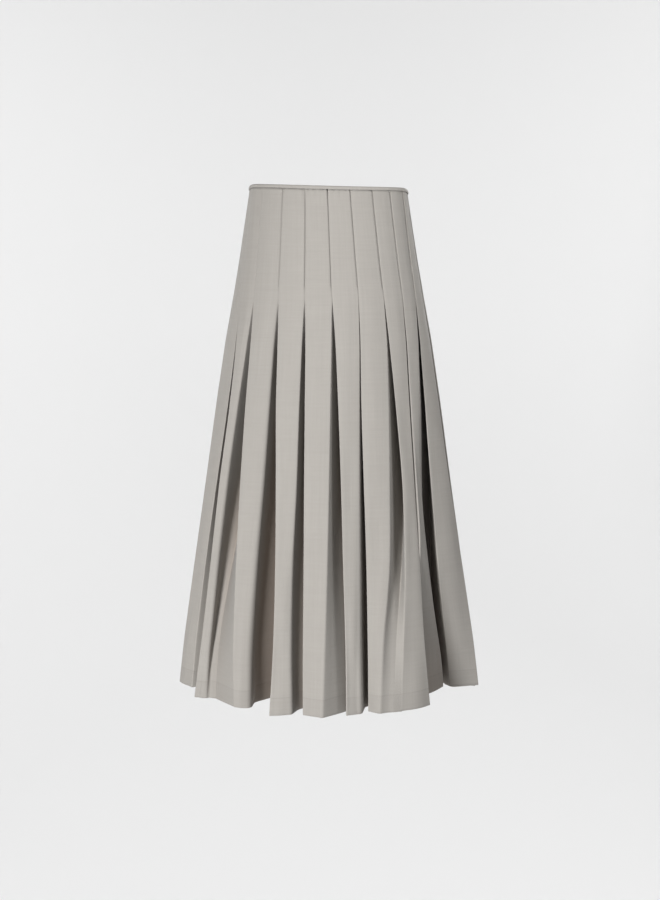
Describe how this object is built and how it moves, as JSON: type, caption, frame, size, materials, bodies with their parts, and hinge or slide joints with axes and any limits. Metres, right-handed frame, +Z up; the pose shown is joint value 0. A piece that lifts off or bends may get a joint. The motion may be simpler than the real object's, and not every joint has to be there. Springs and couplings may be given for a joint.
{
  "type": "pleated midi skirt",
  "caption": "Pleated midi skirt in its worn hollow form: a narrow bound waist, knife pleats stitched flat to the hip and opening to a flared hem.",
  "frame": {"origin": "centre of the waist at its top edge, where the wearer's waist holds the skirt", "axes": "+Z up the wearer's body, front towards -Y, the wearer's left at +X"},
  "size_m": [0.4979, 0.3968, 0.8179],
  "materials": {
    "cloth": "matt plain weave with a slight slub",
    "binding": "matt plain weave, folded over the edge",
    "tape": "matt woven zip tape",
    "metal": "small plated zip slider and pull"
  },
  "bodies": {
    "skirt": {"front_panel": "cloth", "back_left_panel": "cloth", "back_right_panel": "cloth", "waist_binding": "binding", "zip_tape": "tape", "zip_slider": "metal"},
    "zip_pull": {"zip_pull": "metal"}
  },
  "joints": [
    {"name": "zip_pull_swing", "type": "hinge", "parent": "skirt", "child": "zip_pull", "pos_m": [0, 0.0934, -0.01249], "axis": [1, 0, 0], "range_deg": [0, 165]}
  ]
}
